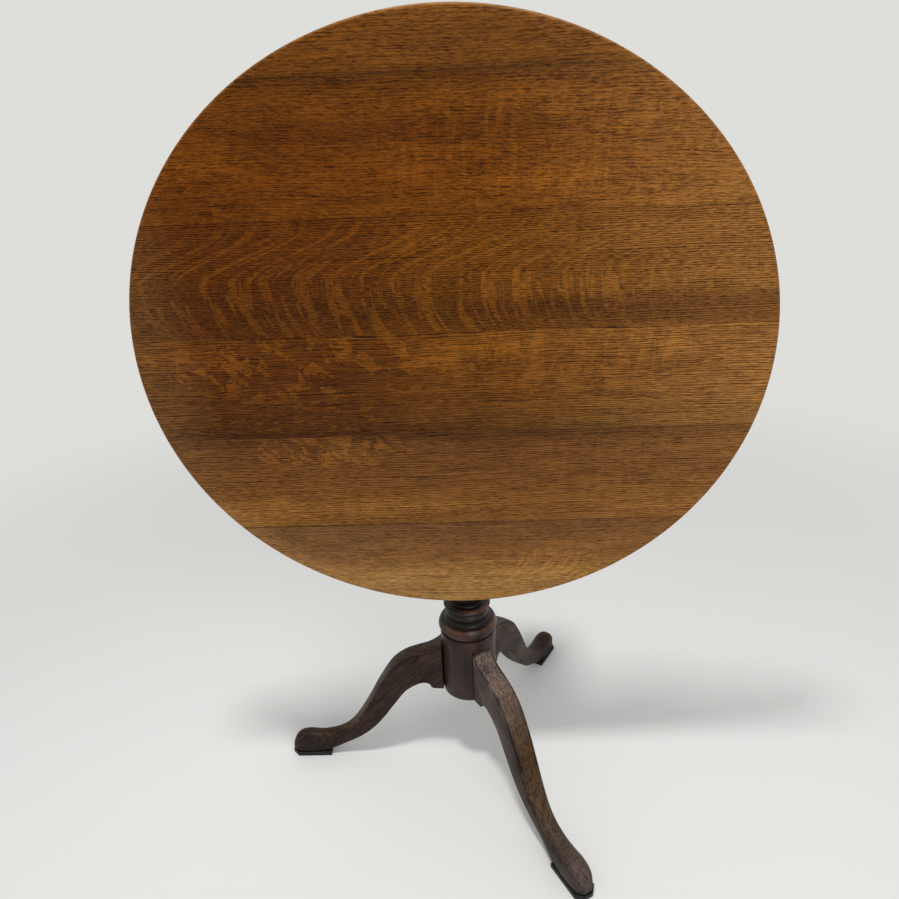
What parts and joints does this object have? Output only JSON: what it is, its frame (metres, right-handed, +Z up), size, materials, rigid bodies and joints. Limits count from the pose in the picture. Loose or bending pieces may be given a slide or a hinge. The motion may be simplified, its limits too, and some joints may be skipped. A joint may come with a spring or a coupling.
{
  "type": "tilt top table",
  "caption": "Round oak tilt top table: boarded top on two bearers, tipping on a block over a turned column with cabriole legs, shown tipped up.",
  "frame": {"origin": "column axis at floor level, under the foot pads", "axes": "+Z up, +X along the pivots with the left leg at -X, -Y the side that the tipped top's show face looks to"},
  "size_m": [0.79, 0.5756, 1.1419],
  "materials": {
    "top_oak": "waxed quarter-sawn oak, satin",
    "leg_oak": "dark old oak, worn arrises, satin",
    "column_oak": "dark red-brown turned oak, polished",
    "underside_oak": "dry unpolished oak",
    "ebonised_wood": "black, satin",
    "old_brass": "dulled cast brass",
    "dull_steel": "dull steel"
  },
  "bodies": {
    "root": {"column": "column_oak", "leg_left": "leg_oak", "leg_front": "leg_oak", "leg_rear": "leg_oak", "pad_left": "ebonised_wood", "pad_front": "ebonised_wood", "pad_rear": "ebonised_wood", "block": "underside_oak", "tenon_wedge": "underside_oak", "pivot_dowel_left": "underside_oak", "pivot_dowel_right": "underside_oak", "strike_plate": "old_brass", "strike_screw_1": "old_brass", "strike_screw_2": "old_brass"},
    "top": {"top_board_1": "top_oak", "top_board_2": "top_oak", "top_board_3": "top_oak", "top_board_4": "top_oak", "top_board_5": "top_oak", "top_board_6": "top_oak", "bearer_left": "underside_oak", "bearer_right": "underside_oak", "bearer_left_screw_1": "dull_steel", "bearer_left_screw_2": "dull_steel", "bearer_left_screw_3": "dull_steel", "bearer_left_screw_4": "dull_steel", "bearer_left_screw_5": "dull_steel", "bearer_right_screw_1": "dull_steel", "bearer_right_screw_2": "dull_steel", "bearer_right_screw_3": "dull_steel", "bearer_right_screw_4": "dull_steel", "bearer_right_screw_5": "dull_steel", "catch_case": "old_brass", "catch_spring": "dull_steel", "catch_screw_1": "old_brass", "catch_screw_2": "old_brass", "catch_screw_3": "old_brass", "catch_screw_4": "old_brass"},
    "catch_bolt": {"catch_bolt": "old_brass", "catch_knob": "old_brass"}
  },
  "joints": [
    {"name": "top_tilt", "type": "hinge", "parent": "root", "child": "top", "pos_m": [0, -0.07401, 0.6815], "axis": [-1, 0, 0], "range_deg": [0, 99.08]},
    {"name": "catch_slide", "type": "slide", "parent": "top", "child": "catch_bolt", "axis": [0, -0.1579, 0.9875], "range_m": [0, 0.008], "stiffness_N_per_m": 300, "springref_m": -0.006, "deforming": ["catch_spring"]}
  ]
}
